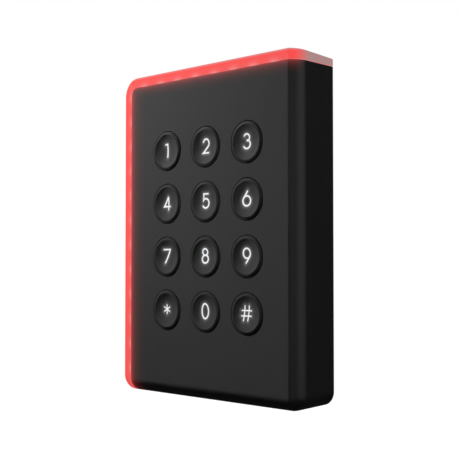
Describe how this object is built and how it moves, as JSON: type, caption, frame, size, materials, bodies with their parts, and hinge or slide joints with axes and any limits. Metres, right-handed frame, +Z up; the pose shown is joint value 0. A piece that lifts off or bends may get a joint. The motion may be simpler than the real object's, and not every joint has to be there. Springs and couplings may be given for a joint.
{
  "type": "keypad access reader",
  "caption": "Slim black wall reader with round push keys for entering a code, a red lit bar along its top and left edges, a card antenna inside and a hook-on wall plate.",
  "frame": {"origin": "centre of the reader's outline on the wall side of the mounting plate", "axes": "+Z up, +X to the right of someone facing the keys, +Y into the wall"},
  "size_m": [0.086, 0.0208, 0.1192],
  "materials": {
    "black_plastic": "fine matte moulded texture",
    "key_plastic": "smooth satin",
    "lit_guide": "milky, lit from behind",
    "white_light": "lit",
    "silicone": "translucent matte",
    "strip_board": "white solder mask",
    "antenna_laminate": "blue solder mask",
    "board_laminate": "green solder mask",
    "ferrite": "matte",
    "chip_epoxy": "matte moulded epoxy",
    "can_metal": "drawn can",
    "pale_nylon": "satin",
    "rubber": "matte",
    "grey_plastic": "fine matte moulded texture",
    "screw_steel": "zinc plated",
    "plate_steel": "galvanised sheet"
  },
  "bodies": {
    "housing": {"front_cover": "black_plastic", "light_guide": "lit_guide", "keypad_mat": "silicone", "key_light_1": "white_light", "key_light_2": "white_light", "key_light_3": "white_light", "key_light_4": "white_light", "key_light_5": "white_light", "key_light_6": "white_light", "key_light_7": "white_light", "key_light_8": "white_light", "key_light_9": "white_light", "key_light_10": "white_light", "key_light_11": "white_light", "key_light_12": "white_light", "led_strip_left": "strip_board", "led_strip_top": "strip_board", "antenna_board": "antenna_laminate", "ferrite_sheet": "ferrite", "main_board": "board_laminate", "board_screw_1": "screw_steel", "board_screw_2": "screw_steel", "board_screw_3": "screw_steel", "board_screw_4": "screw_steel", "controller_chip": "chip_epoxy", "card_reader_chip": "chip_epoxy", "crystal": "can_metal", "power_inductor": "ferrite", "capacitor_1": "can_metal", "capacitor_2": "can_metal", "cable_connector": "pale_nylon", "buzzer": "chip_epoxy", "tamper_switch": "chip_epoxy", "perimeter_gasket": "rubber", "rear_cover": "grey_plastic", "rear_cover_screw_1": "screw_steel", "rear_cover_screw_2": "screw_steel", "rear_cover_screw_3": "screw_steel", "rear_cover_screw_4": "screw_steel", "cable_grommet": "rubber", "mounting_plate": "plate_steel", "lock_screw": "screw_steel"},
    "key_1": {"key_1": "key_plastic"},
    "key_2": {"key_2": "key_plastic"},
    "key_3": {"key_3": "key_plastic"},
    "key_4": {"key_4": "key_plastic"},
    "key_5": {"key_5": "key_plastic"},
    "key_6": {"key_6": "key_plastic"},
    "key_7": {"key_7": "key_plastic"},
    "key_8": {"key_8": "key_plastic"},
    "key_9": {"key_9": "key_plastic"},
    "key_star": {"key_star": "key_plastic"},
    "key_0": {"key_0": "key_plastic"},
    "key_hash": {"key_hash": "key_plastic"},
    "tamper_plunger": {"tamper_plunger": "pale_nylon"}
  },
  "joints": [
    {"name": "key_1_press", "type": "slide", "parent": "housing", "child": "key_1", "axis": [0, 1, 0], "range_m": [0, 0.0008], "stiffness_N_per_m": 1200, "springref_m": -0.0004, "deforming": ["keypad_mat"]},
    {"name": "key_2_press", "type": "slide", "parent": "housing", "child": "key_2", "axis": [0, 1, 0], "range_m": [0, 0.0008], "stiffness_N_per_m": 1200, "springref_m": -0.0004, "deforming": ["keypad_mat"]},
    {"name": "key_3_press", "type": "slide", "parent": "housing", "child": "key_3", "axis": [0, 1, 0], "range_m": [0, 0.0008], "stiffness_N_per_m": 1200, "springref_m": -0.0004, "deforming": ["keypad_mat"]},
    {"name": "key_4_press", "type": "slide", "parent": "housing", "child": "key_4", "axis": [0, 1, 0], "range_m": [0, 0.0008], "stiffness_N_per_m": 1200, "springref_m": -0.0004, "deforming": ["keypad_mat"]},
    {"name": "key_5_press", "type": "slide", "parent": "housing", "child": "key_5", "axis": [0, 1, 0], "range_m": [0, 0.0008], "stiffness_N_per_m": 1200, "springref_m": -0.0004, "deforming": ["keypad_mat"]},
    {"name": "key_6_press", "type": "slide", "parent": "housing", "child": "key_6", "axis": [0, 1, 0], "range_m": [0, 0.0008], "stiffness_N_per_m": 1200, "springref_m": -0.0004, "deforming": ["keypad_mat"]},
    {"name": "key_7_press", "type": "slide", "parent": "housing", "child": "key_7", "axis": [0, 1, 0], "range_m": [0, 0.0008], "stiffness_N_per_m": 1200, "springref_m": -0.0004, "deforming": ["keypad_mat"]},
    {"name": "key_8_press", "type": "slide", "parent": "housing", "child": "key_8", "axis": [0, 1, 0], "range_m": [0, 0.0008], "stiffness_N_per_m": 1200, "springref_m": -0.0004, "deforming": ["keypad_mat"]},
    {"name": "key_9_press", "type": "slide", "parent": "housing", "child": "key_9", "axis": [0, 1, 0], "range_m": [0, 0.0008], "stiffness_N_per_m": 1200, "springref_m": -0.0004, "deforming": ["keypad_mat"]},
    {"name": "key_star_press", "type": "slide", "parent": "housing", "child": "key_star", "axis": [0, 1, 0], "range_m": [0, 0.0008], "stiffness_N_per_m": 1200, "springref_m": -0.0004, "deforming": ["keypad_mat"]},
    {"name": "key_0_press", "type": "slide", "parent": "housing", "child": "key_0", "axis": [0, 1, 0], "range_m": [0, 0.0008], "stiffness_N_per_m": 1200, "springref_m": -0.0004, "deforming": ["keypad_mat"]},
    {"name": "key_hash_press", "type": "slide", "parent": "housing", "child": "key_hash", "axis": [0, 1, 0], "range_m": [0, 0.0008], "stiffness_N_per_m": 1200, "springref_m": -0.0004, "deforming": ["keypad_mat"]},
    {"name": "tamper_plunger_press", "type": "slide", "parent": "housing", "child": "tamper_plunger", "axis": [0, -1, 0], "range_m": [0, 0.0008], "stiffness_N_per_m": 300, "springref_m": -0.001}
  ]
}
